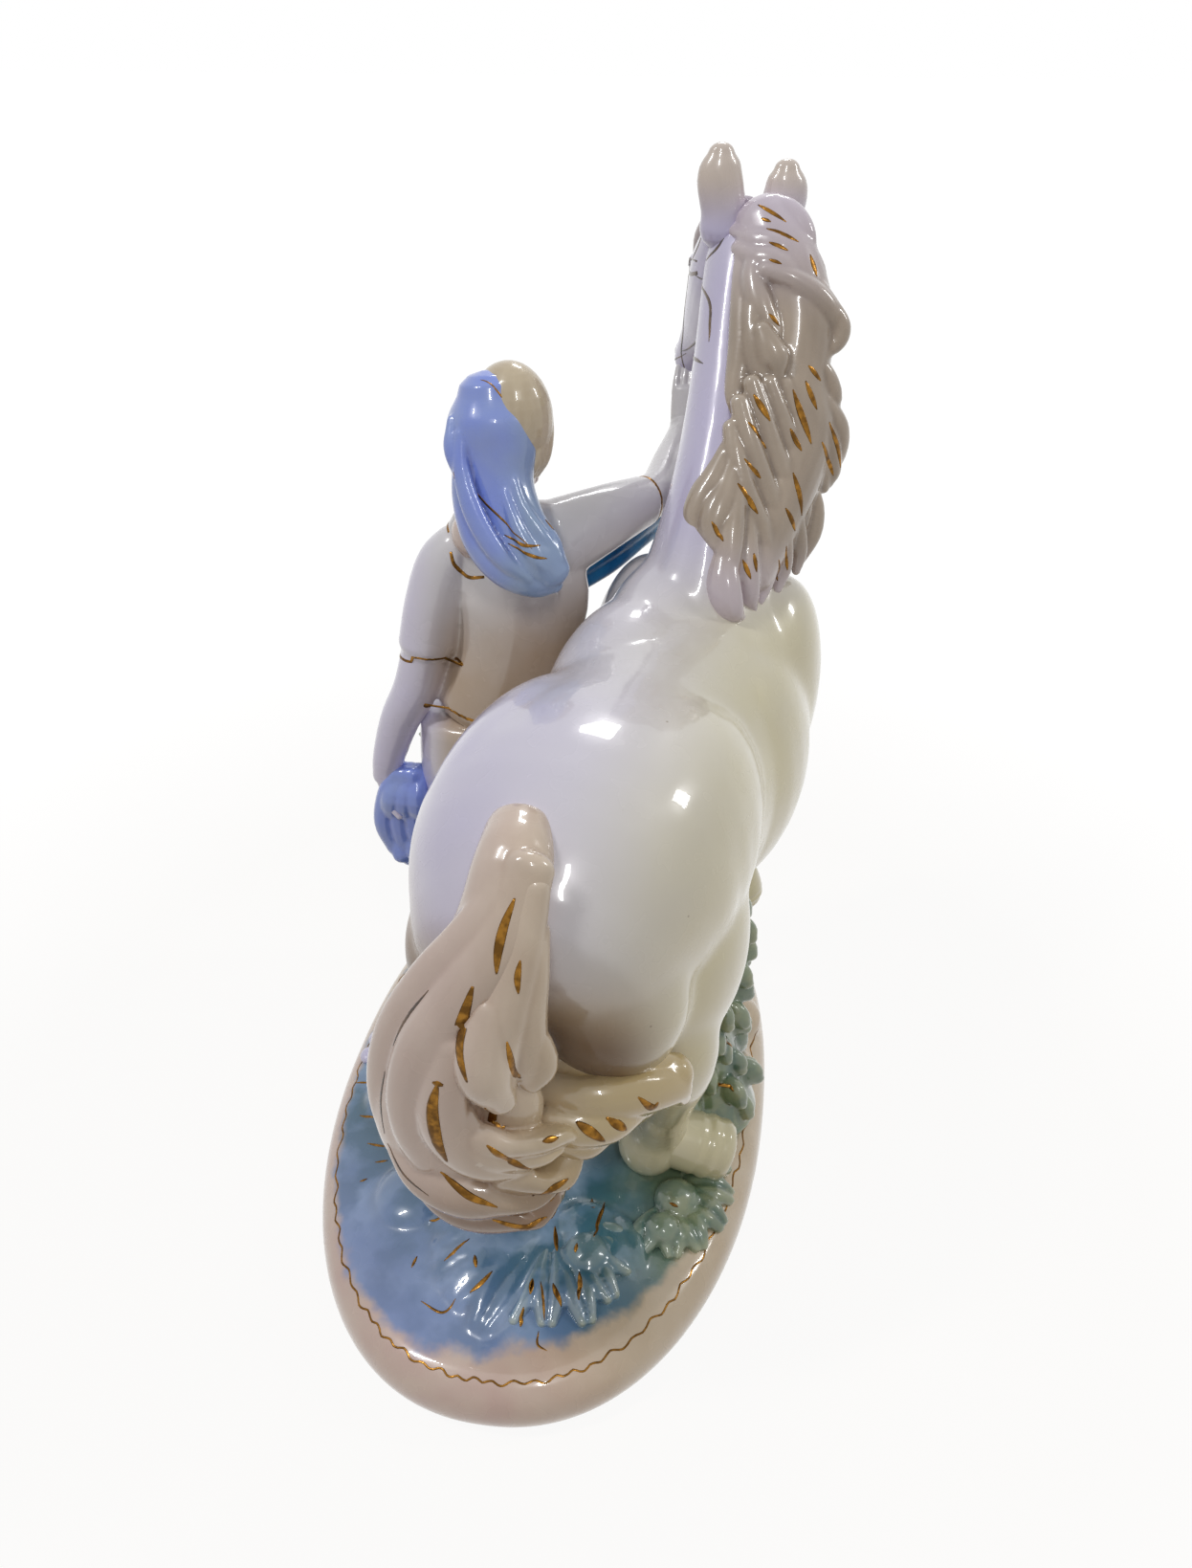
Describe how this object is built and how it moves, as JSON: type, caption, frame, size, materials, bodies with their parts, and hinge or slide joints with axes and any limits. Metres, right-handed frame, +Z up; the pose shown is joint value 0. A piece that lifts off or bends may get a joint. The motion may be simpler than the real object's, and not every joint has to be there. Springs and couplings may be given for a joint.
{
  "type": "woman with horse figurine",
  "caption": "Glazed porcelain group of a standing woman in a headscarf who holds the chin of a prancing horse, on an oval plinth with relief foliage.",
  "frame": {"origin": "middle of the plinth's flat underside, on the table", "axes": "+Z up; +Y along the plinth, the way the horse faces; +X to the horse's right"},
  "size_m": [0.1529, 0.25, 0.3013],
  "materials": {
    "ground_glaze": "gloss",
    "white_glaze": "gloss",
    "ear_glaze": "gloss",
    "leaf_glaze": "gloss",
    "mane_glaze": "gloss",
    "tail_glaze": "gloss",
    "skin_glaze": "gloss",
    "hair_glaze": "gloss",
    "blue_glaze": "gloss",
    "deep_blue_glaze": "gloss"
  },
  "bodies": {
    "root": {"plinth": "ground_glaze", "horse_trunk": "white_glaze", "horse_neck": "white_glaze", "horse_head": "white_glaze", "horse_ear_left": "ear_glaze", "horse_ear_right": "ear_glaze", "horse_hind_leg_right": "white_glaze", "horse_hind_leg_left": "white_glaze", "horse_foreleg_left": "white_glaze", "horse_foreleg_right": "white_glaze", "support_bush": "leaf_glaze", "horse_mane": "mane_glaze", "mane_curl_upper": "mane_glaze", "mane_curl_lower": "mane_glaze", "mane_curl_chest": "mane_glaze", "mane_curl_shoulder": "mane_glaze", "mane_curl_withers": "mane_glaze", "horse_forelock": "mane_glaze", "horse_tail": "tail_glaze", "tail_inner_lock": "tail_glaze", "tail_tuft": "tail_glaze", "woman_skirt": "white_glaze", "woman_blouse": "white_glaze", "woman_neck": "skin_glaze", "woman_head": "skin_glaze", "woman_hair": "hair_glaze", "woman_headscarf": "blue_glaze", "woman_scarf_tail": "blue_glaze", "woman_arm_left": "white_glaze", "woman_arm_right": "white_glaze", "woman_hand_left": "skin_glaze", "woman_hand_right": "skin_glaze", "woman_held_cloth": "blue_glaze", "woman_shawl": "deep_blue_glaze", "leaves_rear": "leaf_glaze", "leaves_right": "leaf_glaze", "leaves_front": "leaf_glaze", "leaf_spray": "leaf_glaze"}
  },
  "joints": []
}
